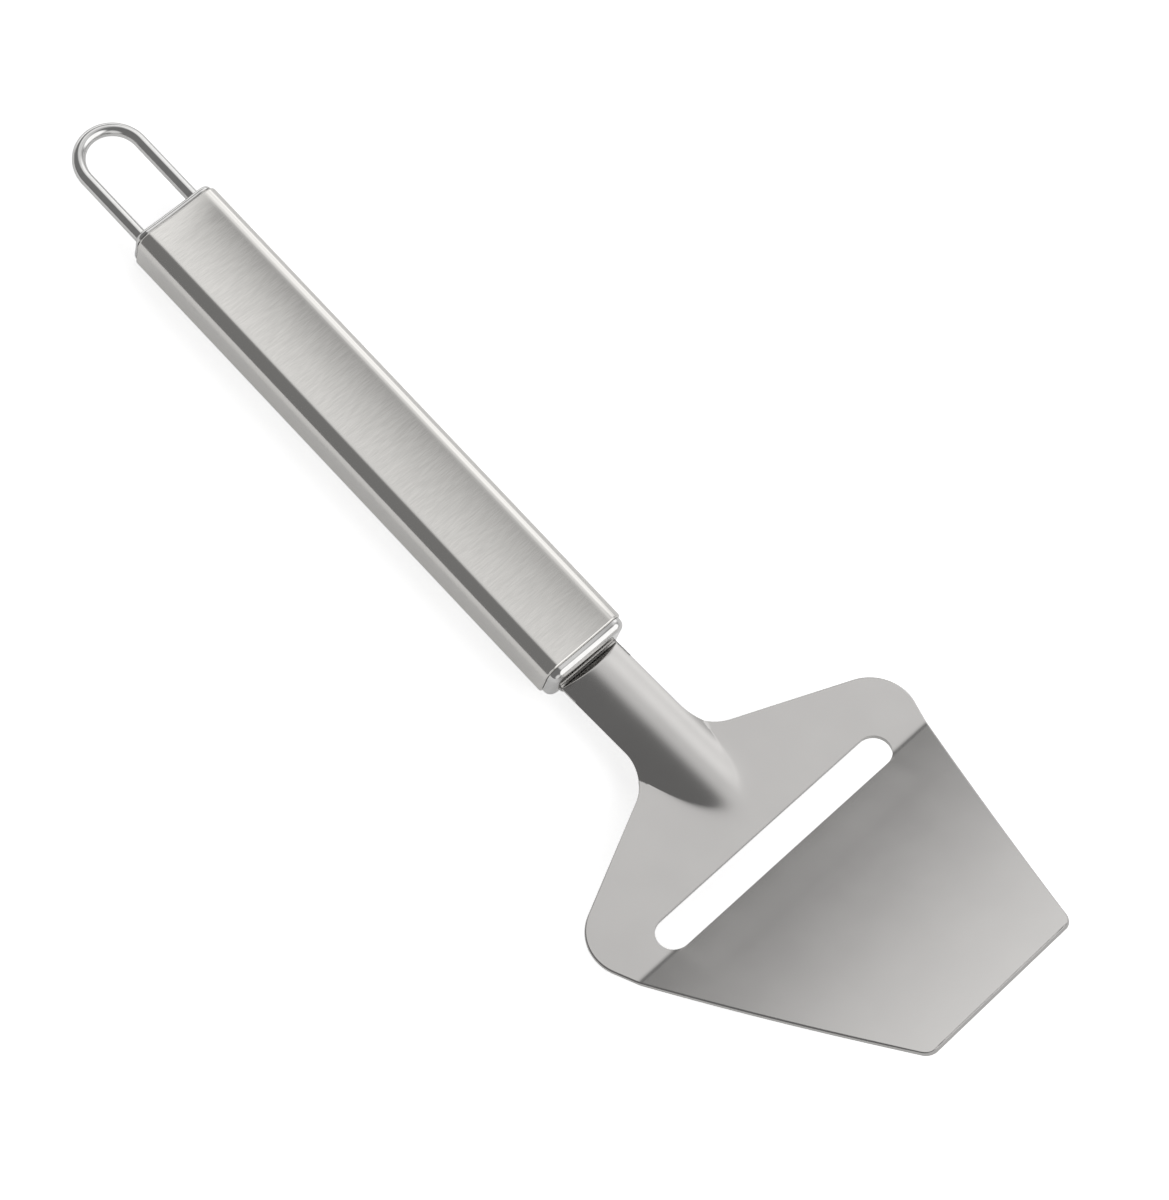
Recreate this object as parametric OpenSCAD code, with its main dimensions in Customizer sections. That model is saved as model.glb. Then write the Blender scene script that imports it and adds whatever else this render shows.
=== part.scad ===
// Cheese slicer: a hollow steel handle with pressed-in end caps, a wire loop to hang it by,
// and a blade stamped from one sheet that runs through the front cap into the handle.
// X runs along the handle towards the blade's tip, Z is up, and the handle lies on Z = 0.

/* [Handle] */
// Length of the handle tube
handle_l = 116.9; // [90:0.1:150]
// Width of the handle tube
handle_w = 20; // [19:0.5:26]
// Height of the handle tube
handle_h = 11.6; // [10:0.2:16]
// Outside radius of the tube's corners
handle_r = 3; // [2.4:0.1:4.5]
// Wall of the tube
handle_wall = 1; // [0.8:0.1:1.4]

/* [End caps] */
// How far the front cap stands out of the tube
front_cap_out = 2.2; // [1.6:0.1:4]
// How far the rear cap stands out of the tube
rear_cap_out = 1.4; // [1.2:0.1:4]
// How far a cap's sides lie inside the tube's sides
cap_inset = 0.5; // [0.3:0.05:0.9]
// Rounding of a cap's outer edge
cap_edge = 1; // [0.3:0.1:1.2]
// Depth of a cap's plug inside the tube
cap_depth = 5; // [3:0.5:12]
// Gap round a cap's plug, and round what passes through a cap
fit_gap = 0.05; // [0.02:0.01:0.1]

/* [Hanging loop] */
// Diameter of the loop's wire
wire_d = 2.75; // [1.6:0.05:3]
// Space between the loop's legs and the inside of the tube
leg_margin = 0.8; // [0.6:0.1:3]
// How far the loop reaches out of the rear cap
loop_reach = 24.9; // [14:0.1:40]

/* [Neck] */
// Width of the neck
neck_w = 15; // [10:0.1:16]
// Length of the neck from the front cap to the blade's shoulders
neck_l = 23.8; // [15:0.1:45]
// Radius of the neck's arched top
neck_r = 15.9; // [12:0.1:20]
// Rise of the neck from the handle's line, in degrees
neck_rise = 4.7; // [0:0.1:6]
// Height of the arch above the plate at the shoulders
neck_crown = 2.6; // [2:0.1:4]
// Fillet between the neck and the plate's back edges
shoulder_r = 9; // [4:0.5:14]
// Length of the flat tang behind the front cap
tang_l = 5; // [3:0.5:20]
// Length of the flat tang between the front cap and the arch
root_l = 0.4; // [0.2:0.1:2]
// Slope of the arch's end above the tang, in degrees
root_slope = 48; // [30:1:70]

/* [Blade] */
// Thickness of the blade's sheet
sheet_t = 1; // [0.8:0.1:2]
// Length of the plate from the shoulders to the bend
plate_l = 29.3; // [24:0.1:45]
// Slope of the plate from the handle's line, in degrees
plate_slope = 14.2; // [12:0.1:20]
// Height of the shoulders above the handle's middle
shoulder_z = 0.35; // [0:0.05:2]
// Sweep of the plate's back edges, in degrees
back_sweep = 24.4; // [10:0.1:35]
// How far behind the shoulders the back edges would meet
back_meet = 3.1; // [2:0.1:5]
// Width of the blade at the bend
bend_w = 78; // [68:0.2:110]
// Radius of the blade's wide corners
corner_r = 9.3; // [4:0.1:13]
// Length of the tip part from the bend to the end
tip_l = 55.5; // [35:0.5:80]
// Width of the tip between its sharp corners
tip_w = 37.2; // [24:0.2:60]
// Rounding of the tip's corners
tip_r = 2.5; // [1:0.5:8]
// Slope of the tip part at the bend, in degrees
tip_slope_start = 31; // [26:0.5:35]
// Slope of the tip part at its end, in degrees
tip_slope_end = 38; // [34:0.5:44]

/* [Slicing slot] */
// Length of the slot
slot_l = 61; // [40:0.2:66]
// Width of the slot
slot_w = 7.1; // [5:0.1:9]
// How far the slot's tip side lies past the bend
slot_past = 1.1; // [0:0.1:1.5]
// Length of the cutting lip that is pressed down behind the slot
lip_l = 8; // [6:0.5:16]
// How far the cutting edge is pressed down
lip_drop = 1.1; // [0.8:0.1:2]
// Length of the bevel under the cutting edge
bevel_l = 2.4; // [1:0.1:4]
// Thickness of the cutting edge
edge_t = 0.25; // [0.1:0.05:0.6]

/* [Welds] */
// Size of the fillet welds inside the handle
weld_leg = 0.5; // [0.3:0.05:0.6]

/* [Hidden] */
$fn = 96;

// Steps along a rounded corner and along the sheet's curved stretches
corner_steps = 16;
curve_steps = 12;
// Cutting tools run past the faces that they cut by this much
past = 1;
// Colours of the brushed, bright and satin steel and of the welds
brushed = [0.74, 0.73, 0.71];
bright = [0.82, 0.82, 0.82];
satin = [0.68, 0.68, 0.66];
scaled_steel = [0.5, 0.48, 0.46];

// The sheet's line from the shoulders over the bend, in the plane of the handle
shoulder = [front_cap_out + neck_l, shoulder_z];
bend = shoulder + plate_l * [cos(plate_slope), sin(plate_slope)];
tip_slope = (tip_slope_start + tip_slope_end) / 2;
tip_curve_r = tip_l / (2 * sin((tip_slope_end - tip_slope_start) / 2));
// Slope where the cutting lip leaves the tip part, and how far the lip turns down from there
lip_slope = tip_slope_start + lip_l / tip_curve_r * 180 / PI;
lip_turn = 2 * lip_drop / lip_l * 180 / PI;
lip_curve_r = lip_l / lip_turn * 180 / PI;
lip_w = slot_l - slot_w;

// Thickness of the tip's end face, and the whole slicer's reach before and behind the front rim
end_t = sheet_t / cos((tip_slope_end - tip_slope_start) / 2);
front_x = bend.x + tip_l * cos(tip_slope) + end_t * sin(tip_slope);
rear_x = -handle_l - rear_cap_out - loop_reach;
rim = [-(front_x + rear_x) / 2, 0, handle_h / 2];

// The loop's legs: centre to centre, and their straight length outside the cap
loop_span = handle_w - 2 * handle_wall - 2 * leg_margin - wire_d;
leg_l = loop_reach - loop_span / 2 - wire_d / 2;

// The neck's own axis runs under the arch: its depth below the shoulders, and its reach back to the tube's rim
neck_axis_drop = neck_r - neck_crown;
neck_reach = shoulder.x / cos(neck_rise);
// The flat tang lies at the height of the neck's side edges where the arch ends
root_x = front_cap_out + root_l;
tang_top = shoulder.y - neck_axis_drop - (shoulder.x - root_x) * tan(neck_rise)
    + sqrt(neck_r * neck_r - neck_w * neck_w / 4) / cos(neck_rise);
tang_bottom = tang_top - sheet_t;
// Distance from the bend to where the back edges would meet, and a size that spans the whole blade
back_l = plate_l + back_meet;
wide = 2 * (bend_w + neck_reach);

// Corners of the plate's side profile: at the bend and behind the shoulders, on its upper and lower faces
plate_way = [cos(plate_slope), sin(plate_slope)];
plate_back = bend - (plate_l + shoulder_r) * plate_way;
plate_under = below(plate_slope, sheet_t);

// Point on the slope of the arch's end, at a distance from the root
function arch_end(d) = [root_x, tang_top] + d * [cos(root_slope), sin(root_slope)];
// Points of the sheet's upper line at a slope on the tip part, and on the lip past its start
function tip_point(a) = bend + tip_curve_r * [sin(a) - sin(tip_slope_start), cos(tip_slope_start) - cos(a)];
function lip_point(a) =
    tip_point(lip_slope) - lip_curve_r * [sin(a) - sin(lip_slope), cos(lip_slope) - cos(a)];
function below(a, t) = t * [sin(a), -cos(a)];
function steps(a, b, n) = [for (i = [0:n]) a + (b - a) * i / n];
function backwards(list) = [for (i = [len(list) - 1:-1:0]) list[i]];
function across(list) = [for (p = backwards(list)) [p.x, -p.y]];
function unit(v) = v / norm(v);

// Points of the arc of radius r that rounds the corner b between a and c
function rounded(a, b, c, r) =
    let (
        u = unit(a - b),
        v = unit(c - b),
        half = acos(u * v) / 2,
        middle = b + unit(u + v) * r / sin(half),
        from = b + u * r / tan(half) - middle,
        to = b + v * r / tan(half) - middle,
        start = atan2(from.y, from.x),
        turn = (atan2(to.y, to.x) - start + 540) % 360 - 180
    )
    [for (t = steps(0, turn, corner_steps)) middle + r * [cos(start + t), sin(start + t)]];

// Half outlines: from just past the bend along the plate to the neck's root, and along the tip part
taper = (bend_w - tip_w) / 2 / tip_l;
root_end = [-plate_l - neck_reach - past, neck_w / 2];
shoulder_corner = [-back_l + neck_w / 2 * tan(back_sweep), neck_w / 2];
wide_s = (-back_l + bend_w / 2 * tan(back_sweep)) / (1 + taper * tan(back_sweep));
wide_corner = [wide_s, bend_w / 2 - wide_s * taper];
plate_half = concat(
    [[past, bend_w / 2 - past * taper]],
    rounded([0, bend_w / 2], wide_corner, shoulder_corner, corner_r),
    rounded(wide_corner, shoulder_corner, root_end, shoulder_r),
    [root_end]
);
tip_corner = [tip_l, tip_w / 2];
tip_start = [-sheet_t, bend_w / 2 + sheet_t * taper];
tip_half = concat([tip_start], rounded(tip_start, tip_corner, [tip_l, -tip_w / 2], tip_r));

// Everything is drawn from the middle of the tube's front rim
module placed() {
    translate(rim) children();
}

// Flat shapes in the handle's cross plane, extruded along X from x to x + length
module along_x(x, length) {
    translate([x, 0, 0]) rotate([90, 0, 90]) linear_extrude(length) children();
}

// Side profiles in X and Z, extruded across the blade between two places on Y
module across_y(y, width) {
    translate([0, y + width, 0]) rotate([90, 0, 0]) linear_extrude(width) children();
}

// Frame of a flat part that starts at the bend and slopes up
module sloped(angle) {
    translate([bend.x, 0, bend.y]) rotate([0, -angle, 0]) children();
}

module rounded_rect(w, h, r) {
    square([w - 2 * r, h], center = true);
    square([w, h - 2 * r], center = true);
    for (sx = [-1, 1], sy = [-1, 1]) translate([sx * (w / 2 - r), sy * (h / 2 - r)]) circle(r);
}

// Cross section of a bar with its two outer edges rounded, lying on the X axis
module rounded_bar(width, edge) {
    square_w = width - 2 * edge;
    translate([-square_w / 2, 0]) square([square_w, edge]);
    intersection() {
        for (s = [-1, 1]) translate([s * square_w / 2, 0]) circle(edge);
        translate([-width / 2, 0]) square([width, edge]);
    }
}

// Last stretch of a cap: a rounded rectangle whose outer edge is rounded all the way round
module cap_brim(w, h, r) {
    rotate([90, 0, 0]) linear_extrude(h - 2 * r, center = true) rounded_bar(w, cap_edge);
    rotate([90, 0, 90]) linear_extrude(w - 2 * r, center = true) rounded_bar(h, cap_edge);
    for (k = [0:3]) {
        sx = k == 0 || k == 3 ? 1 : -1;
        sy = k < 2 ? 1 : -1;
        translate([sx * (w / 2 - r), sy * (h / 2 - r), 0]) rotate([0, 0, 90 * k])
            rotate_extrude(angle = 90) intersection() {
                rounded_bar(2 * r, cap_edge);
                square([r, cap_edge]);
            }
    }
}

// A cap on the rim at X = 0: its plug in the tube, and its bright end that stands out of it
module cap_blank(out) {
    plug_inset = handle_wall + fit_gap;
    out_w = handle_w - 2 * cap_inset;
    out_h = handle_h - 2 * cap_inset;
    out_r = handle_r - cap_inset;
    along_x(-cap_depth, cap_depth)
        rounded_rect(handle_w - 2 * plug_inset, handle_h - 2 * plug_inset, handle_r - plug_inset);
    along_x(0, out - cap_edge) rounded_rect(out_w, out_h, out_r);
    translate([out - cap_edge, 0, 0]) rotate([90, 0, 90]) cap_brim(out_w, out_h, out_r);
}

// Frame of the neck's own axis, which runs under the arch
module on_neck_axis() {
    translate([shoulder.x, 0, shoulder.y - neck_axis_drop]) rotate([0, 90 - neck_rise, 0]) children();
}

// Round bar along the neck, from the tube's rim to the bend, and longer at both ends by more
module neck_round(r, more = 0) {
    on_neck_axis() translate([0, 0, -neck_reach - more]) cylinder(h = neck_reach + plate_l + 2 * more, r = r);
}

// Side profile of the flat plate, from behind the shoulders to the bend
module plate_profile() {
    polygon([bend, plate_back, plate_back + plate_under, bend + plate_under]);
}

// Space for the arch: above the plate's lower face and its line on towards the root, in front of the arch's end
module arch_space() {
    under_bend = bend + plate_under;
    under_back = plate_back + plate_under;
    under_root = under_back - neck_reach * plate_way;
    up = [0, wide];
    intersection() {
        across_y(-wide / 2, wide) polygon([under_bend, under_bend + up, under_root + up, under_root, under_back]);
        across_y(-wide / 2, wide) polygon([[root_x, -wide], [root_x, tang_top], arch_end(wide), [wide, -wide]]);
    }
}

// Side profile of the sloped web that closes the arch's end above the tang
module web_profile() {
    under_root = [root_x + sheet_t * tan(root_slope / 2), tang_bottom];
    top = arch_end(neck_r);
    polygon([[root_x, tang_bottom], [root_x, tang_top], top, top + below(root_slope, sheet_t), under_root]);
}

// Length of the flat tang as a block that starts at x, with more room all round
module tang_block(x, length, more = 0) {
    translate([x, -neck_w / 2 - more, tang_bottom - more]) cube([length, neck_w + 2 * more, sheet_t + 2 * more]);
}

module plate_outline() {
    polygon(concat(plate_half, across(plate_half)));
}

module tip_outline() {
    polygon(concat(tip_half, across(tip_half)));
}

module slot_outline() {
    translate([slot_past - slot_w / 2, 0]) {
        square([slot_w, lip_w], center = true);
        for (s = [-1, 1]) translate([0, s * lip_w / 2]) circle(slot_w / 2);
    }
}

// Flat tang, arched neck with its tongue, and the flat plate that it runs into
module neck_and_plate() {
    tang_block(-cap_depth - tang_l, cap_depth + tang_l + root_x);
    intersection() {
        sloped(plate_slope) translate([0, 0, -wide / 2]) linear_extrude(wide) plate_outline();
        union() {
            intersection() {
                difference() {
                    neck_round(neck_r);
                    neck_round(neck_r - sheet_t, past);
                }
                arch_space();
            }
            intersection() {
                neck_round(neck_r);
                across_y(-neck_w / 2, neck_w) web_profile();
            }
            difference() {
                across_y(-wide / 2, wide) plate_profile();
                neck_round(neck_r - sheet_t, past);
            }
        }
    }
}

// Side profile of the tip part between two slopes
module tip_profile(a, b) {
    slopes = steps(a, b, curve_steps);
    upper = [for (s = slopes) tip_point(s)];
    lower = [for (s = slopes) tip_point(s) + below(s, sheet_t)];
    polygon(concat(upper, backwards(lower)));
}

// Outside of the bend between the plate and the tip part
module bend_profile() {
    slopes = steps(plate_slope, tip_slope_start, curve_steps);
    polygon(concat([bend], [for (s = slopes) bend + below(s, sheet_t)]));
}

// Side profile of the cutting lip, thinned from below to its edge
module lip_profile() {
    edge_slope = lip_slope + lip_turn;
    bevel_slope = edge_slope - lip_turn * bevel_l / lip_l;
    upper = [for (s = steps(lip_slope, edge_slope, curve_steps)) lip_point(s)];
    lower = [for (s = steps(lip_slope, bevel_slope, curve_steps)) lip_point(s) + below(s, sheet_t)];
    polygon(concat(upper, [lip_point(edge_slope) + below(edge_slope, edge_t)], backwards(lower)));
}

// Curved tip part: whole beyond the lip, and two lands beside it that reach the bend
module tip_part() {
    intersection() {
        sloped(tip_slope) translate([0, 0, -wide / 2]) linear_extrude(wide) tip_outline();
        union() {
            across_y(-wide / 2, wide) tip_profile(lip_slope, tip_slope_end);
            across_y(-lip_w / 2, lip_w) lip_profile();
            for (y = [-wide / 2, lip_w / 2]) across_y(y, (wide - lip_w) / 2) {
                tip_profile(tip_slope_start, lip_slope);
                bend_profile();
            }
        }
    }
}

module handle_tube() {
    color(brushed) placed() along_x(-handle_l, handle_l) difference() {
        rounded_rect(handle_w, handle_h, handle_r);
        rounded_rect(handle_w - 2 * handle_wall, handle_h - 2 * handle_wall, handle_r - handle_wall);
    }
}

module front_cap() {
    color(bright) placed() difference() {
        cap_blank(front_cap_out);
        tang_block(-cap_depth - past, cap_depth + front_cap_out + 2 * past, fit_gap);
    }
}

module rear_cap() {
    color(bright) placed() translate([-handle_l, 0, 0]) difference() {
        mirror([1, 0, 0]) cap_blank(rear_cap_out);
        for (s = [-1, 1]) translate([-rear_cap_out - past, s * loop_span / 2, 0]) rotate([0, 90, 0])
            cylinder(h = cap_depth + rear_cap_out + 2 * past, d = wire_d + 2 * fit_gap);
    }
}

module hanging_loop() {
    leg = leg_l + rear_cap_out + cap_depth + weld_leg;
    color(bright) placed() translate([-handle_l - rear_cap_out - leg_l, 0, 0]) {
        for (s = [-1, 1]) translate([0, s * loop_span / 2, 0]) rotate([0, 90, 0])
            cylinder(h = leg, d = wire_d);
        rotate([0, 0, 90]) rotate_extrude(angle = 180) translate([loop_span / 2, 0]) circle(d = wire_d);
    }
}

module blade() {
    color(satin) placed() difference() {
        union() {
            neck_and_plate();
            tip_part();
        }
        sloped(plate_slope) translate([0, 0, -wide / 2]) linear_extrude(wide) slot_outline();
    }
}

// Beads above and below the tang, against the front cap's inner face
module tang_welds() {
    color(scaled_steel) placed() across_y(-neck_w / 2, neck_w) {
        translate([-cap_depth, tang_top]) polygon([[0, 0], [0, weld_leg], [-weld_leg, 0]]);
        translate([-cap_depth, tang_bottom]) polygon([[0, 0], [-weld_leg, 0], [0, -weld_leg]]);
    }
}

// Beads round the loop's legs, against the rear cap's inner face
module loop_welds() {
    color(scaled_steel) placed() for (s = [-1, 1])
        translate([cap_depth - handle_l, s * loop_span / 2, 0]) rotate([0, 90, 0]) rotate_extrude()
            translate([wire_d / 2, 0]) polygon([[0, 0], [weld_leg, 0], [0, weld_leg]]);
}

handle_tube();
front_cap();
rear_cap();
hanging_loop();
blade();
tang_welds();
loop_welds();
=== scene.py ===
import math

import bmesh
import bpy
import numpy as np
from mathutils import Matrix, Vector


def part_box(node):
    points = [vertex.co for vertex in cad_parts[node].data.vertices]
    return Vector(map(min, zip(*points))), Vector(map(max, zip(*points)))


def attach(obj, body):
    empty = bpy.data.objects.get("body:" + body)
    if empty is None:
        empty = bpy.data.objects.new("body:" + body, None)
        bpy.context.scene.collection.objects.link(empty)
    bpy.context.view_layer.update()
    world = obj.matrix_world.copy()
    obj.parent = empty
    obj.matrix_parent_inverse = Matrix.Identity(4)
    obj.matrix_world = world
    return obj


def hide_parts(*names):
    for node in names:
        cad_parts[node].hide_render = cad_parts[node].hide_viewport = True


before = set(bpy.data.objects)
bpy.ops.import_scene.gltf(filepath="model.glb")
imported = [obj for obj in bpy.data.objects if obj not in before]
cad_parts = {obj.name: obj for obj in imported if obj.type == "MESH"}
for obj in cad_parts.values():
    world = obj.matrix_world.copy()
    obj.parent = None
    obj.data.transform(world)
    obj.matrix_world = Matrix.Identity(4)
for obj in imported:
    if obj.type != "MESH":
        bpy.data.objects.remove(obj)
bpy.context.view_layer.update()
mm = 0.001

tubeLow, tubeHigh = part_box("handle_tube")
frontLow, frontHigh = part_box("front_cap")
rearLow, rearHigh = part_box("rear_cap")
loopLow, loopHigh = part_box("hanging_loop")
bladeLow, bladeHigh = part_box("blade")
axisZ = (tubeLow.z + tubeHigh.z) / 2
print("frame loaded, handle", round((tubeHigh.x - tubeLow.x) / mm, 1), "mm long")


# A socket that takes part in sums: an expression on values adds its Math nodes
class Signal:
    def __init__(self, tree, socket=None):
        self.tree = tree
        self.socket = socket

    def node(self, kind, settings=None, inputs=None, output=0):
        made = self.tree.nodes.new(kind)
        for name, value in (settings or {}).items():
            setattr(made, name, value)
        for name, value in (inputs or {}).items():
            self.feed(made.inputs[name], value)
        return Signal(self.tree, made.outputs[output] if made.outputs else None)

    def feed(self, socket, value):
        if isinstance(value, Signal):
            self.tree.links.new(value.socket, socket)
        else:
            socket.default_value = value

    def pick(self, output):
        return Signal(self.tree, self.socket.node.outputs[output])

    def math(self, operation, *others):
        return self.node("ShaderNodeMath", {"operation": operation}, dict(enumerate((self, *others))))

    def __add__(self, other):
        return self.math("ADD", other)

    def __sub__(self, other):
        return self.math("SUBTRACT", other)

    def __rsub__(self, other):
        return (self * -1) + other

    def __mul__(self, other):
        return self.math("MULTIPLY", other)

    def __truediv__(self, other):
        return self.math("DIVIDE", other)

    def __pow__(self, other):
        return self.math("POWER", other)

    # 0 below low, 1 above high, and a smooth step between them
    def rise(self, low, high):
        limits = {"Value": self, "From Min": low, "From Max": high}
        return self.node("ShaderNodeMapRange", {"interpolation_type": "SMOOTHSTEP"}, limits)

    # a colour between two others, by this value
    def between(self, dark, light):
        return self.node("ShaderNodeMix", {"data_type": "RGBA"}, {0: self, 6: dark, 7: light}, output=2)


def rgba(colour):
    return (*colour, 1.0)


# Steel: one look a finish. Grain and bands are repeats per metre along the object's own X, Y and Z, and
# depth is the bump's height in metres
finishes = {
    "handle": {
        "dark": (0.660, 0.647, 0.625), "light": (0.736, 0.722, 0.697), "rough": 0.17, "roughSwing": 0.08,
        "grain": (4200, 330, 330), "bands": (1200, 190, 190), "bandShare": 0.35,
        "bump": 0.10, "depth": 0.010 * mm, "brushedTo": 6.07 * mm, "smoothFrom": 7.0 * mm,
    },
    "blade": {
        "dark": (0.490, 0.480, 0.470), "light": (0.512, 0.502, 0.491), "rough": 0.20, "roughSwing": 0.04,
        "grain": (3800, 3800, 3800), "bands": (90, 90, 90), "bandShare": 0.8,
        "bump": 0.002, "depth": 0.010 * mm,
        # painted shade: a darker colour on the slope that faces the front cap, standing in for the shade in
        # the gap there
        "paintedShade": (0.304, 0.298, 0.291), "paintedShadeTo": frontHigh.x + 3 * mm, "paintedShadeFade": mm,
        "paintedShadeFacing": (0.40, 0.60),
    },
    "bright": {
        "dark": (0.64, 0.636, 0.628), "light": (0.69, 0.686, 0.678), "rough": 0.10, "roughSwing": 0.05,
        "grain": (1500, 900, 900), "bands": (140, 140, 140), "bandShare": 0.4,
        "bump": 0.03, "depth": 0.004 * mm,
    },
    "weld": {
        "dark": (0.26, 0.22, 0.20), "light": (0.58, 0.54, 0.50), "rough": 0.35, "roughSwing": 0.3,
        "grain": (2600, 2600, 2600), "bands": (700, 700, 700), "bandShare": 0.6,
        "bump": 0.5, "depth": 0.03 * mm,
    },
}
texture = {"grainDetail": 2.0, "bandDetail": 4.0, "middle": 0.5, "span": 0.2}


def steel(name):
    look = finishes[name]
    material = bpy.data.materials.new(name + "Steel")
    material.use_nodes = True
    tree = material.node_tree
    tree.nodes.clear()
    start = Signal(tree)
    place = start.node("ShaderNodeTexCoord", output="Object")

    def noise(scale, detail):
        spread = start.node("ShaderNodeMapping", inputs={"Vector": place, "Scale": scale})
        return start.node("ShaderNodeTexNoise", inputs={"Vector": spread, "Scale": 1.0, "Detail": detail})

    grain = noise(look["grain"], texture["grainDetail"]) - texture["middle"]
    bands = noise(look["bands"], texture["bandDetail"]) - texture["middle"]
    if "brushedTo" in look:
        # the brush reaches the broad faces and leaves the corners and sides smooth
        across = start.node("ShaderNodeSeparateXYZ", inputs={0: place}).pick("Y").math("ABSOLUTE")
        brushed = 1 - across.rise(look["brushedTo"], look["smoothFrom"])
        grain = grain * brushed
        bands = bands * brushed
    tone = grain * (1 - look["bandShare"]) + bands * look["bandShare"]
    colour = tone.rise(-texture["span"], texture["span"]).between(rgba(look["dark"]), rgba(look["light"]))
    if "paintedShade" in look:
        # painted shade: the slope that faces the cap across a narrow gap gets a darker colour, standing in
        # for the shade in that recess
        along = start.node("ShaderNodeSeparateXYZ", inputs={0: place}).pick("X")
        facing = start.node("ShaderNodeNewGeometry", output="Normal")
        backwards = start.node("ShaderNodeSeparateXYZ", inputs={0: facing}).pick("X") * -1
        nearCap = 1 - along.rise(look["paintedShadeTo"], look["paintedShadeTo"] + look["paintedShadeFade"])
        inside = backwards.rise(*look["paintedShadeFacing"]) * nearCap
        colour = inside.between(colour, rgba(look["paintedShade"]))
    height = start.node("ShaderNodeBump", inputs={
        "Strength": look["bump"], "Distance": look["depth"], "Height": grain})
    surface = start.node("ShaderNodeBsdfPrincipled", inputs={
        "Base Color": colour,
        "Roughness": tone * look["roughSwing"] + look["rough"],
        "Metallic": 1.0,
        "Normal": height,
    })
    start.node("ShaderNodeOutputMaterial", inputs={"Surface": surface})
    return material


handleSteel, bladeSteel, brightSteel, weldSteel = (steel(n) for n in ("handle", "blade", "bright", "weld"))
print("steel finishes made")


def link(name, data, *materials):
    piece = bpy.data.objects.new(name, data)
    bpy.context.scene.collection.objects.link(piece)
    for material in materials:
        piece.data.materials.append(material)
    return piece


def makeMesh(name, points, faces, *materials):
    mesh = bpy.data.meshes.new(name)
    mesh.from_pydata([tuple(p) for p in points], [], faces)
    mesh.shade_smooth()
    return link(name, mesh, *materials)


# The piece's modifiers and node trees become a plain mesh
def settle(piece):
    evaluated = piece.evaluated_get(bpy.context.evaluated_depsgraph_get())
    mesh = bpy.data.meshes.new_from_object(evaluated)
    name = piece.name
    bpy.data.objects.remove(piece)
    mesh.name = name
    return link(name, mesh)


# Rings of equal count, each counter-clockwise seen from +X, joined in order of X
def loft(name, rings, material, closed=False):
    count = len(rings[0])
    points = np.concatenate(rings)
    steps = len(rings) if closed else len(rings) - 1
    faces = []
    for i in range(steps):
        low, high = i * count, (i + 1) % len(rings) * count
        for j in range(count):
            k = (j + 1) % count
            faces.append((low + j, low + k, high + k, high + j))
    if not closed:
        faces.append(tuple(reversed(range(count))))
        faces.append(tuple(range(len(points) - count, len(points))))
    return makeMesh(name, points, faces, material)


def sharpen(piece, degrees):
    piece.data.set_sharp_from_angle(angle=math.radians(degrees))


# Handle tube: a rounded rectangle whose faces sink in a little between the corners
tube = {
    "corner": 3 * mm, "wall": 1 * mm, "topTilt": 3.6, "sideTilt": 2.0, "rim": 0.45 * mm,
    "cornerSteps": 20, "faceSteps": 28, "rimSteps": 6, "bays": 24, "sharpFrom": 50,
}


# Cross section round the handle's axis, moved inwards by inset
def handleSection(x, inset):
    across = (tubeHigh.y - tubeLow.y) / 2 - tube["corner"]
    up = (tubeHigh.z - tubeLow.z) / 2 - tube["corner"]
    ring = []
    for k in range(4):
        half, out = (across, up) if k % 2 == 0 else (up, across)
        tilts = (tube["sideTilt"], tube["topTilt"]) if k % 2 == 0 else (tube["topTilt"], tube["sideTilt"])
        before, after = tilts
        sideY, sideZ = (1, -1, -1, 1)[k], (1, 1, -1, -1)[k]
        for a in np.radians(np.linspace(90 * k - before, 90 * k + 90 + after, tube["cornerSteps"])):
            r = tube["corner"] - inset
            ring.append((x, sideY * across + r * math.cos(a), axisZ + sideZ * up + r * math.sin(a)))
        tilt, middle = math.radians(after), math.radians(90 * k + 90)
        reach = out + half / math.tan(tilt)
        radius = half / math.sin(tilt) - tube["corner"] + inset
        for a in np.linspace(middle + tilt, middle - tilt, tube["faceSteps"])[1:-1]:
            y = reach * math.cos(middle) - radius * math.cos(a)
            z = reach * math.sin(middle) - radius * math.sin(a)
            ring.append((x, y, axisZ + z))
    return np.array(ring)


# Quarter round from a side to an end face: (distance before the end, inset) pairs
def quarterRound(radius, steps):
    angles = np.linspace(0, math.pi / 2, steps + 1)
    return [(radius * (1 - math.sin(a)), radius * (1 - math.cos(a))) for a in angles]


def makeTube():
    rims = quarterRound(tube["rim"], tube["rimSteps"])
    rings = [handleSection(tubeLow.x, tube["wall"])]
    rings += [handleSection(tubeLow.x + back, inset) for back, inset in reversed(rims)]
    for x in np.linspace(tubeLow.x + tube["rim"], tubeHigh.x - tube["rim"], tube["bays"] + 1)[1:-1]:
        rings.append(handleSection(x, 0))
    rings += [handleSection(tubeHigh.x - back, inset) for back, inset in rims]
    rings.append(handleSection(tubeHigh.x, tube["wall"]))
    piece = loft("handleTube", rings, handleSteel, closed=True)
    sharpen(piece, tube["sharpFrom"])
    return piece


handleTube = makeTube()
print("handle tube made")


# End caps: a plug in the tube, a fine line beside the tube's rim, and a bright end with a round edge
cap = {
    "inset": 0.5 * mm, "gap": 0.05 * mm, "frontEdge": 1.7 * mm, "rearEdge": 1.0 * mm,
    "frontReveal": 0.1 * mm, "rearReveal": 0.3 * mm,
    "edgeSteps": 12, "sideSteps": 3, "sharpFrom": 35,
}


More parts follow.
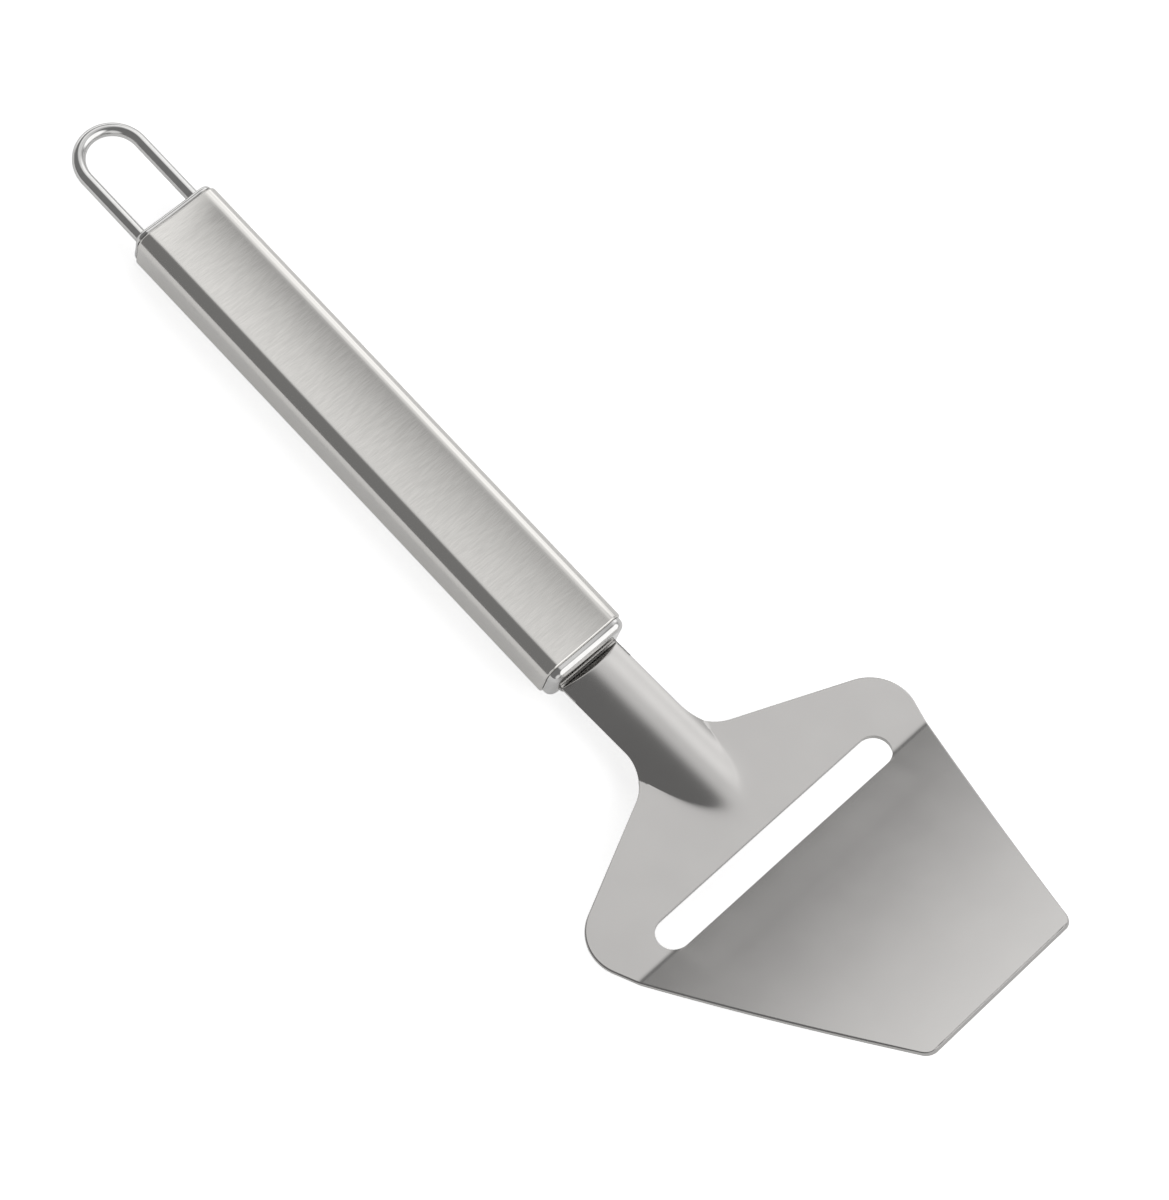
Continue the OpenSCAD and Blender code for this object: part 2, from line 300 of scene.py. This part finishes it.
# A cap on the rim at x that looks along direction, with what passes through it cut out
def makeCap(name, x, direction, out, depth, edge, reveal, cutter):
    plug = tube["wall"] + cap["gap"]
    stations = [(-depth, plug), (reveal, plug), (reveal, cap["inset"])]
    for d in np.linspace(reveal, out - edge, cap["sideSteps"] + 1)[1:-1]:
        stations.append((d, cap["inset"]))
    for back, inset in quarterRound(edge, cap["edgeSteps"]):
        stations.append((out - back, cap["inset"] + inset))
    rings = [handleSection(x + direction * d, inset) for d, inset in stations]
    piece = loft(name, rings if direction > 0 else rings[::-1], brightSteel)
    cut = piece.modifiers.new("passage", "BOOLEAN")
    cut.object = cutter
    cut.solver = "EXACT"
    piece = settle(piece)
    bpy.data.objects.remove(cutter)
    piece.data.shade_smooth()
    sharpen(piece, cap["sharpFrom"])
    return piece


# Hanging loop: a wire swept along its path by a node tree
loop = {
    "wire": (loopHigh.z - loopLow.z) / 2, "fit": 0.05 * mm, "arcSteps": 64, "around": 40, "sharpFrom": 60,
}


def loopPath():
    reach = (loopHigh.y - loopLow.y) / 2 - loop["wire"]
    middle = loopLow.x + loop["wire"] + reach
    path = [(loopHigh.x, -reach, axisZ)]
    for a in np.linspace(-math.pi / 2, math.pi / 2, loop["arcSteps"] + 1):
        path.append((middle - reach * math.cos(a), reach * math.sin(a), axisZ))
    path.append((loopHigh.x, reach, axisZ))
    return path


def wireTree():
    tree = bpy.data.node_groups.new("sweptWire", "GeometryNodeTree")
    tree.interface.new_socket("Path", in_out="INPUT", socket_type="NodeSocketGeometry")
    tree.interface.new_socket("Wire Radius", in_out="INPUT", socket_type="NodeSocketFloat")
    tree.interface.new_socket("Points Around", in_out="INPUT", socket_type="NodeSocketInt")
    tree.interface.new_socket("Finish", in_out="INPUT", socket_type="NodeSocketMaterial")
    tree.interface.new_socket("Wire", in_out="OUTPUT", socket_type="NodeSocketGeometry")
    start = Signal(tree)
    given = start.node("NodeGroupInput")
    profile = start.node("GeometryNodeCurvePrimitiveCircle", inputs={
        "Resolution": given.pick("Points Around"), "Radius": given.pick("Wire Radius")})
    swept = start.node("GeometryNodeCurveToMesh", inputs={
        "Curve": given.pick("Path"), "Profile Curve": profile, "Fill Caps": True})
    smooth = start.node("GeometryNodeSetShadeSmooth", inputs={"Geometry": swept})
    real = start.node("GeometryNodeRealizeInstances", inputs={"Geometry": smooth})
    painted = start.node("GeometryNodeSetMaterial", inputs={
        "Geometry": real, "Material": given.pick("Finish")})
    start.node("NodeGroupOutput", inputs={"Wire": painted})
    return tree


# Values go to a node tree's inputs by the sockets' own identifiers
def applyTree(piece, tree, values):
    modifier = piece.modifiers.new(tree.name, "NODES")
    modifier.node_group = tree
    for item in tree.interface.items_tree:
        if item.name in values:
            modifier[item.identifier] = values[item.name]


def makeWire(name, tree, radius):
    curve = bpy.data.curves.new(name, "CURVE")
    curve.dimensions = "3D"
    path = loopPath()
    spline = curve.splines.new("POLY")
    spline.points.add(len(path) - 1)
    for point, place in zip(spline.points, path):
        point.co = (*place, 1.0)
    piece = link(name, curve)
    applyTree(piece, tree, {"Wire Radius": radius, "Points Around": loop["around"], "Finish": brightSteel})
    return settle(piece)


sweptWire = wireTree()
hangingLoop = makeWire("hangingLoop", sweptWire, loop["wire"])
sharpen(hangingLoop, loop["sharpFrom"])
loopPassage = makeWire("loopPassage", sweptWire, loop["wire"] + loop["fit"])
rearCap = makeCap(
    "rearCap", tubeLow.x, -1, tubeLow.x - rearLow.x, rearHigh.x - tubeLow.x, cap["rearEdge"],
    cap["rearReveal"], loopPassage)
print("hanging loop and rear cap made")


# Blade: a flat blank with its slot, pressed to shape by a node tree. Lengths run from the bend, in mm
blade = {
    "neckWidth": 15.0, "neckLength": 23.8, "neckRadius": 15.9, "neckRise": 4.7, "neckCrown": 2.6,
    "rootLength": 0.4, "rootSlope": 57.0, "rootSoftness": 0.12,
    "shoulderHeight": 0.35, "shoulderRadius": 9.0,
    "plateLength": 29.3, "plateSlope": 14.2, "backSweep": 24.4, "backMeet": 3.1,
    "bendWidth": 78.0, "cornerRadius": 9.3, "tipLength": 55.53, "tipWidth": 37.2, "tipRadius": 2.5,
    "tipStart": 31.0, "tipEnd": 38.0, "bendHalf": 0.8,
    "creaseSharp": 0.12, "creaseSoft": 0.5, "grooveDepth": 0.05, "grooveHeight": 0.15,
    "slotLength": 61.0, "slotWidth": 7.1, "slotPast": 1.1,
    "lipStart": -2.4, "lipLength": 10.0, "lipDrop": 0.05, "lipFrom": 26.8, "lipTo": 30.0,
    "sheet": 1.0, "edge": 0.25, "bevelLength": 2.4,
    "deburr": 0.35, "deburrSteps": 3, "sharpFrom": 60,
    "neckRounding": 0.3, "slotRounding": 0.14, "tipRounding": 0.3, "roundedFrom": 3.5, "roundedRun": 3.0,
    "neckRoundTo": -24.0, "sideRoundFrom": -14.0, "tipRoundRun": 2.0, "besideSlot": 0.1,
    "sideColumns": 12, "middleColumns": 60, "cornerSteps": 24, "tipSteps": 6,
    "tongueEnd": -13.5, "tongueLeast": 2.5, "shoulderStrip": 2.4, "sideEase": 0.2,
    "rootZone": 3.2, "neckTo": -36.0, "tongueTo": -12.0, "nearTo": 12.0,
    "tangRows": 8, "rootRows": 34, "neckRows": 20, "tongueRows": 110, "plateRows": 14, "slotRows": 17,
    "nearRows": 34, "farRows": 32,
}
slack = 1e-6
frontRim = Vector((tubeHigh.x, 0, axisZ))
capOut = frontHigh.x - tubeHigh.x
shoulderX = frontRim.x + capOut + blade["neckLength"] * mm
plateSlope, neckRise = math.radians(blade["plateSlope"]), math.radians(blade["neckRise"])

# the flat tang lies at the height of the neck's side edges where the arch ends, seen from the shoulders
archDepth = blade["neckRadius"] - blade["neckCrown"]
rootRun = blade["neckLength"] - blade["rootLength"]
edgeHeight = math.sqrt(blade["neckRadius"] ** 2 - blade["neckWidth"] ** 2 / 4) / math.cos(neckRise)
tangDrop = edgeHeight - archDepth - rootRun * math.tan(neckRise)


# Distance from the bend of a place on the flat tang that lies before the shoulders
def alongTang(before):
    return (tangDrop * math.tan(plateSlope) - before) * math.cos(plateSlope) - blade["plateLength"]


# Arc that rounds the corner b between a and c
def roundCorner(a, b, c, radius, steps):
    a, b, c = (np.array(p, float) for p in (a, b, c))
    u = (a - b) / np.linalg.norm(a - b)
    v = (c - b) / np.linalg.norm(c - b)
    half = math.acos(u @ v) / 2
    middle = b + (u + v) / np.linalg.norm(u + v) * radius / math.sin(half)
    first, last = b + u * radius / math.tan(half) - middle, b + v * radius / math.tan(half) - middle
    start = math.atan2(first[1], first[0])
    turn = (math.atan2(last[1], last[0]) - start + 3 * math.pi) % (2 * math.pi) - math.pi
    return [middle + radius * np.array((math.cos(start + turn * t), math.sin(start + turn * t)))
            for t in np.linspace(0, 1, steps)]


# Half width of the blank at a distance from the bend, from the tang's end to the tip
def halfOutline():
    neck, wide, tip = blade["neckWidth"] / 2, blade["bendWidth"] / 2, blade["tipWidth"] / 2
    sweep = math.tan(math.radians(blade["backSweep"]))
    back = blade["plateLength"] + blade["backMeet"]
    taper = (wide - tip) / blade["tipLength"]
    wideAt = (wide * sweep - back) / (1 + taper * sweep)
    tang, shoulder = (alongTang((shoulderX - bladeLow.x) / mm), neck), (neck * sweep - back, neck)
    corner, end = (wideAt, wide - wideAt * taper), (blade["tipLength"], tip)
    points = [tang]
    points += roundCorner(tang, shoulder, corner, blade["shoulderRadius"], blade["cornerSteps"])
    points += roundCorner(shoulder, corner, end, blade["cornerRadius"], blade["cornerSteps"])
    points += roundCorner(corner, end, (end[0], -tip), blade["tipRadius"], blade["tipSteps"])
    return np.array(points)


# Half width of the raised neck and its tongue, where they meet the plate
def tongueHalf(s):
    lean = neckRise - plateSlope
    ahead = s + blade["plateLength"] + archDepth * math.sin(plateSlope)
    below = archDepth * math.cos(plateSlope) - ahead * math.tan(lean)
    return math.sqrt(max(blade["neckRadius"] ** 2 - (below * math.cos(lean)) ** 2, 0))


# Rows of the blank, close together at the root, along the tongue, by the slot and at the tip's corners
def bladeRows(outline):
    slotStart = blade["slotPast"] - blade["slotWidth"]
    radius = blade["slotWidth"] / 2
    root = alongTang(rootRun)
    rootEnd = root + blade["rootZone"]
    tipCorner = outline[-blade["tipSteps"]:, 0]
    slot = [slotStart + radius * (1 - math.cos(a)) for a in np.linspace(0, math.pi, blade["slotRows"])]
    return np.concatenate([
        np.linspace(outline[0][0], root, blade["tangRows"])[:-1],
        np.linspace(root, rootEnd, blade["rootRows"])[:-1],
        np.linspace(rootEnd, blade["neckTo"], blade["neckRows"])[:-1],
        np.linspace(blade["neckTo"], blade["tongueTo"], blade["tongueRows"])[:-1],
        np.linspace(blade["tongueTo"], slotStart, blade["plateRows"])[:-1],
        slot[:-1],
        np.linspace(blade["slotPast"], blade["nearTo"], blade["nearRows"])[:-1],
        np.linspace(blade["nearTo"], tipCorner[0], blade["farRows"])[:-1],
        tipCorner,
    ])


def makeBlank():
    outline = halfOutline()
    rows = bladeRows(outline)
    side, middle = blade["sideColumns"], blade["middleColumns"]
    slotStart, slotEnd = blade["slotPast"] - blade["slotWidth"], blade["slotPast"]
    straight, radius = (blade["slotLength"] - blade["slotWidth"]) / 2, blade["slotWidth"] / 2
    even = np.linspace(0, 1, side + 1)
    spread = np.linspace(-1, 1, middle + 1)
    points, index = [], []
    for s in rows:
        width = np.interp(s, *outline.T)
        opened = np.clip((s - blade["tongueEnd"]) / (slotStart - blade["tongueEnd"]), 0, 1)
        opened = opened * opened * (3 - 2 * opened)
        columns = spread
        if s <= slotStart + slack:
            tongue = min(max(tongueHalf(s), blade["tongueLeast"]), width - blade["shoulderStrip"])
            inner = tongue + (straight - tongue) * opened
            columns = 0.5 * spread + 0.5 * np.sin(spread * math.pi / 2)
        elif s < slotEnd - slack:
            inner = straight + math.sqrt(max(radius ** 2 - (s - slotEnd + radius) ** 2, 0))
            columns = None
        else:
            inner = width * straight / np.interp(slotEnd, *outline.T)
        eased = blade["sideEase"] * even + (1 - blade["sideEase"]) * even ** 3
        rightSide = inner + (width - inner) * (eased + (even - eased) * opened)
        row = list(-rightSide[::-1])
        row += [None] * (middle - 1) if columns is None else list(inner * columns[1:-1])
        row += list(rightSide)
        index.append([])
        for y in row:
            index[-1].append(None if y is None else len(points))
            if y is not None:
                points.append((s * mm, y * mm, 0))
    faces = []
    for low, high in zip(index, index[1:]):
        for c in range(len(low) - 1):
            quad = (low[c], high[c], high[c + 1], low[c + 1])
            if None not in quad:
                faces.append(quad)
    piece = makeMesh("bladeSheet", points, faces, bladeSteel)
    # the sheet thins to the cutting edge along the slot, and its edges are rounded most at the sides
    thickness = piece.vertex_groups.new(name="thickness")
    rounding = []
    neckStart, tipCorner = alongTang(rootRun) + blade["roundedFrom"], rows[-blade["tipSteps"]]
    roundedAt = (neckStart, neckStart + blade["roundedRun"], blade["neckRoundTo"], blade["sideRoundFrom"],
                 tipCorner - blade["tipRoundRun"], tipCorner)
    shares = (0, blade["neckRounding"], blade["neckRounding"], 1, 1, blade["tipRounding"])
    margin = blade["besideSlot"]
    for i, (s, y, _) in enumerate(points):
        s, y = s / mm, abs(y) / mm
        along = np.clip((s - slotEnd) / blade["bevelLength"], 0, 1)
        beside = np.clip((y - straight) / radius, 0, 1)
        thin = blade["edge"] / blade["sheet"] if s > slotEnd - slack else 1.0
        thickness.add([i], max(thin + (1 - thin) * along, beside), "REPLACE")
        bySlot = slotStart - margin < s < slotEnd + margin and y < straight + radius + margin
        rounding.append(blade["slotRounding"] if bySlot else np.interp(s, roundedAt, shares))
    piece.data.attributes.new("rounding", "FLOAT", "POINT").data.foreach_set("value", rounding)
    return piece


bendX = shoulderX + blade["plateLength"] * mm * math.cos(plateSlope)
bendZ = axisZ + (blade["shoulderHeight"] + blade["plateLength"] * math.sin(plateSlope)) * mm
pressSizes = {
    "Bend X": bendX,
    "Bend Z": bendZ,
    "Plate Slope": plateSlope,
    "Plate Length": blade["plateLength"] * mm,
    "Tip Start": math.radians(blade["tipStart"]),
    "Tip End": math.radians(blade["tipEnd"]),
    "Tip Length": blade["tipLength"] * mm,
    "Bend Half": blade["bendHalf"] * mm,
    "Neck Radius": blade["neckRadius"] * mm,
    "Neck Crown": blade["neckCrown"] * mm,
    "Neck Rise": neckRise,
    "Tang Drop": tangDrop * mm,
    "Root Run": rootRun * mm,
    "Root Slope": math.radians(blade["rootSlope"]),
    "Root Softness": blade["rootSoftness"] * mm,
    "Tongue End": blade["tongueEnd"] * mm,
    "Crease Sharp": blade["creaseSharp"] * mm,
    "Crease Soft": blade["creaseSoft"] * mm,
    "Groove Depth": blade["grooveDepth"] * mm,
    "Groove Height": blade["grooveHeight"] * mm,
    "Lip Start": blade["lipStart"] * mm,
    "Lip Length": blade["lipLength"] * mm,
    "Lip Drop": blade["lipDrop"] * mm,
    "Lip From": blade["lipFrom"] * mm,
    "Lip To": blade["lipTo"] * mm,
}


# Presses a flat blank: the plate's slope, the bend, the curved tip, the arched neck and the lip
def pressTree():
    tree = bpy.data.node_groups.new("pressBlade", "GeometryNodeTree")
    tree.interface.new_socket("Blank", in_out="INPUT", socket_type="NodeSocketGeometry")
    for name in pressSizes:
        tree.interface.new_socket(name, in_out="INPUT", socket_type="NodeSocketFloat")
    tree.interface.new_socket("Finish", in_out="INPUT", socket_type="NodeSocketMaterial")
    tree.interface.new_socket("Pressed", in_out="OUTPUT", socket_type="NodeSocketGeometry")
    start = Signal(tree)
    given = start.node("NodeGroupInput")
    size = {name: given.pick(name) for name in pressSizes}
    flat = start.node("ShaderNodeSeparateXYZ", inputs={0: start.node("GeometryNodeInputPosition")})
    s, y = flat.pick("X"), flat.pick("Y")

    def sine(angle):
        return angle.math("SINE")

    def cosine(angle):
        return angle.math("COSINE")

    # the sheet's line: straight plate, round bend, curved tip
    half, plate, tipStart = size["Bend Half"], size["Plate Slope"], size["Tip Start"]
    onPlate = s.math("MINIMUM", half * -1) + half
    onBend = s.math("MAXIMUM", half * -1).math("MINIMUM", half) + half
    onTip = s.math("MAXIMUM", half) - half
    bendRadius = half * 2 / (tipStart - plate)
    tipRadius = size["Tip Length"] / (size["Tip End"] - tipStart)
    bendAngle = plate + onBend / bendRadius
    tipAngle = tipStart + onTip / tipRadius
    slope = bendAngle + tipAngle - tipStart
    lineX = (size["Bend X"] + (onPlate - half) * cosine(plate)
             + (sine(bendAngle) - sine(plate)) * bendRadius + (sine(tipAngle) - sine(tipStart)) * tipRadius)
    lineZ = (size["Bend Z"] + (onPlate - half) * sine(plate)
             + (cosine(plate) - cosine(bendAngle)) * bendRadius
             + (cosine(tipStart) - cosine(tipAngle)) * tipRadius)

    # the arched neck stands out of the plate and runs into it as a tongue
    depth = size["Neck Radius"] - size["Neck Crown"]
    lean = size["Neck Rise"] - plate
    fromShoulder = s + size["Plate Length"]
    axisHeight = (fromShoulder + depth * sine(plate)) * lean.math("TANGENT") - depth * cosine(plate)
    bow = (size["Neck Radius"] ** 2 - y * y).math("MAXIMUM", 0).math("SQRT")
    arch = axisHeight + bow / cosine(lean)
    towardsTip = s.rise(size["Plate Length"] * -1, size["Tongue End"])
    soft = size["Crease Sharp"] + (size["Crease Soft"] - size["Crease Sharp"]) * towardsTip
    raised = (arch + (arch * arch + soft * soft).math("SQRT")) * 0.5

    # a fine groove runs along the crease and fades towards the tongue's tip
    grooveShare = size["Groove Height"] ** 2 / (arch * arch + size["Groove Height"] ** 2)
    raised = raised - size["Groove Depth"] * grooveShare * grooveShare * (1 - towardsTip)

    # a slope closes the arch's end above the flat tang
    flatHeight = (size["Tang Drop"] - fromShoulder * sine(plate)) / cosine(plate)
    steep = size["Root Slope"]
    webBase = size["Tang Drop"] * cosine(steep) + size["Root Run"] * sine(steep)
    webHeight = (webBase + fromShoulder * sine(steep - plate)) / cosine(steep - plate)
    apart = raised - webHeight
    closed = (raised + webHeight - (apart * apart + size["Root Softness"] ** 2).math("SQRT")) * 0.5
    raised = closed.math("MAXIMUM", flatHeight)

    # the lip behind the slot is pressed down, and fades out beside the slot's ends
    lipShare = 1 - s.rise(0, size["Lip Length"])
    past = s.rise(size["Lip Start"], size["Bend Half"])
    beside = 1 - y.math("ABSOLUTE").rise(size["Lip From"], size["Lip To"])
    lowered = size["Lip Drop"] * lipShare * past * beside

    height = raised - lowered
    place = start.node("ShaderNodeCombineXYZ", inputs={
        "X": lineX - height * sine(slope), "Y": y, "Z": lineZ + height * cosine(slope)})
    pressed = start.node("GeometryNodeSetPosition", inputs={
        "Geometry": given.pick("Blank"), "Position": place})
    real = start.node("GeometryNodeRealizeInstances", inputs={"Geometry": pressed})
    painted = start.node("GeometryNodeSetMaterial", inputs={
        "Geometry": real, "Material": given.pick("Finish")})
    start.node("NodeGroupOutput", inputs={"Pressed": painted})
    return tree


# Sets how much each sharp edge of the sheet is rounded
def markEdges(mesh):
    shape = bmesh.new()
    shape.from_mesh(mesh)
    rounding = shape.verts.layers.float["rounding"]
    share = shape.edges.layers.float.new("bevel_weight_edge")
    for edge in shape.edges:
        if edge.calc_face_angle(0) > math.radians(blade["sharpFrom"]):
            edge[share] = min(corner[rounding] for corner in edge.verts)
    shape.to_mesh(mesh)
    shape.free()


def makeBlade():
    piece = makeBlank()
    applyTree(piece, pressTree(), {**pressSizes, "Finish": bladeSteel})
    solid = piece.modifiers.new("sheet", "SOLIDIFY")
    solid.thickness = blade["sheet"] * mm
    solid.offset = -1
    solid.use_even_offset = True
    solid.vertex_group = "thickness"
    piece = settle(piece)
    markEdges(piece.data)
    burr = piece.modifiers.new("deburr", "BEVEL")
    burr.width = blade["deburr"] * mm
    burr.segments = blade["deburrSteps"]
    burr.limit_method = "WEIGHT"
    burr.use_clamp_overlap = False
    burr.harden_normals = True
    return settle(piece)


bladeSheet = makeBlade()
print("blade pressed,", len(bladeSheet.data.polygons), "faces")


# What passes through the front cap: the flat tang, a little larger all round
def tangPassage():
    half = blade["neckWidth"] * mm / 2 + cap["gap"]
    top = axisZ + (blade["shoulderHeight"] + tangDrop) * mm + cap["gap"]
    bottom = top - blade["sheet"] * mm - 2 * cap["gap"]
    rings = []
    for x in (frontLow.x - mm, frontHigh.x + mm):
        rings.append(np.array([(x, half, bottom), (x, half, top), (x, -half, top), (x, -half, bottom)]))
    return loft("tangPassage", rings, brightSteel)


frontCap = makeCap(
    "frontCap", tubeHigh.x, 1, capOut, tubeHigh.x - frontLow.x, cap["frontEdge"],
    cap["frontReveal"], tangPassage())
print("front cap made")

# Pieces take their nodes' places, and the welds inside keep their own shape
for piece, node, slotName in (
    (handleTube, "handle_tube", "handle_steel"),
    (frontCap, "front_cap", "cap_steel"),
    (rearCap, "rear_cap", "cap_steel"),
    (hangingLoop, "hanging_loop", "loop_steel"),
    (bladeSheet, "blade", "blade_steel"),
):
    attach(piece, "root")
    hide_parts(node)
for node in ("tang_welds", "loop_welds"):
    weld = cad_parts[node]
    weld.data.materials.clear()
    weld.data.materials.append(weldSteel)
print("pieces placed on the frame")


# Studio: a pale floor, and a world of soft boxes in a dim room. Each box is at full level up to one angle
# from its direction and gone at another, and top gives the heights between which a low backdrop fades
studio = {
    "room": 0.275,
    "boxes": (
        {"toward": (0.05, 0.62, 0.78), "full": 6, "none": 30, "level": 0.47},
        {"toward": (-0.30, 0.80, 0.52), "full": 8, "none": 26, "level": 1.19},
        {"toward": (-0.53, 0.38, 0.75), "full": 5, "none": 21, "level": 1.07},
        {"toward": (-0.10, 0.40, 0.91), "full": 4, "none": 18, "level": 0.47},
        {"toward": (0.72, 0.36, 0.59), "full": 22, "none": 36, "level": 1.56},
        {"toward": (0.77, -0.53, 0.34), "full": 10, "none": 30, "level": 0.88},
        {"toward": (-0.92, 0.38, 0.00), "full": 5, "none": 40, "level": 1.16, "top": (0.25, 0.41)},
        {"toward": (-0.92, 0.38, 0.00), "full": 5, "none": 70, "level": 0.31, "top": (0.24, 0.36)},
        {"toward": (0.00, 1.00, 0.00), "full": 10, "none": 60, "level": 0.60, "top": (0.30, 0.50)},
    ),
    "floorColour": (0.8, 0.8, 0.8), "floorGlow": 0.7, "mirrorShare": 0.38, "floorSize": 4.0,
}


def backdropRays(start):
    rays = start.node("ShaderNodeLightPath", output="Is Camera Ray")
    mirrored = rays.pick("Is Glossy Ray").math("MAXIMUM", rays.pick("Is Transmission Ray"))
    return rays.math("MAXIMUM", mirrored * studio["mirrorShare"])


def makeFloor():
    half = studio["floorSize"] / 2
    corners = [(-half, -half, 0), (half, -half, 0), (half, half, 0), (-half, half, 0)]
    material = bpy.data.materials.new("paleFloor")
    material.use_nodes = True
    tree = material.node_tree
    tree.nodes.clear()
    start = Signal(tree)
    plain = start.node("ShaderNodeBsdfDiffuse", inputs={"Color": rgba(studio["floorColour"])})
    glow = start.node("ShaderNodeEmission", inputs={"Strength": studio["floorGlow"]})
    white = start.node("ShaderNodeAddShader", inputs={0: plain, 1: glow})
    seen = start.node("ShaderNodeMixShader", inputs={0: backdropRays(start), 1: plain, 2: white})
    start.node("ShaderNodeOutputMaterial", inputs={"Surface": seen})
    floor = makeMesh("floor", corners, [(0, 1, 2, 3)], material)


def makeWorld():
    world = bpy.data.worlds.new("studio")
    world.use_nodes = True
    tree = world.node_tree
    tree.nodes.clear()
    start = Signal(tree)
    direction = start.node("ShaderNodeTexCoord", output="Generated")
    height = start.node("ShaderNodeSeparateXYZ", inputs={0: direction}).pick("Z")
    light = None
    for box in studio["boxes"]:
        toward = Vector(box["toward"]).normalized()
        facing = start.node("ShaderNodeVectorMath", {"operation": "DOT_PRODUCT"},
                            {0: direction, 1: toward}, output="Value")
        share = facing.rise(math.cos(math.radians(box["none"])), math.cos(math.radians(box["full"])))
        if "top" in box:
            share = share * (1 - height.rise(*box["top"]))
        light = share * box["level"] + (studio["room"] if light is None else light)
    room = start.node("ShaderNodeBackground", inputs={"Strength": light})
    white = start.node("ShaderNodeBackground", inputs={"Color": (1, 1, 1, 1), "Strength": 1.0})
    camera = start.node("ShaderNodeLightPath", output="Is Camera Ray")
    seen = start.node("ShaderNodeMixShader", inputs={0: camera, 1: room, 2: white})
    start.node("ShaderNodeOutputWorld", inputs={"Surface": seen})
    bpy.context.scene.world = world


makeFloor()
makeWorld()
bpy.context.scene.view_settings.view_transform = "Standard"
print("studio lit")


# Camera: its place round the point that it looks at, and its roll
view = {"azimuth": 22.73, "elevation": 67.17, "roll": 25.39, "distance": 692.6 * mm,
        "fromRim": (-7.395 * mm, 8.194 * mm, 0), "lens": 108, "sensor": 36}


def makeCamera():
    data = bpy.data.cameras.new("camera")
    data.lens, data.sensor_width = view["lens"], view["sensor"]
    camera = bpy.data.objects.new("camera", data)
    bpy.context.scene.collection.objects.link(camera)
    a, e = math.radians(view["azimuth"]), math.radians(view["elevation"])
    back = Vector((math.sin(a) * math.cos(e), -math.cos(a) * math.cos(e), math.sin(e)))
    turn = (-back).to_track_quat("-Z", "Y").to_matrix().to_4x4()
    roll = Matrix.Rotation(math.radians(view["roll"]), 4, "Z")
    aim = frontRim + Vector(view["fromRim"])
    camera.matrix_world = Matrix.Translation(aim + back * view["distance"]) @ turn @ roll
    bpy.context.scene.camera = camera


makeCamera()
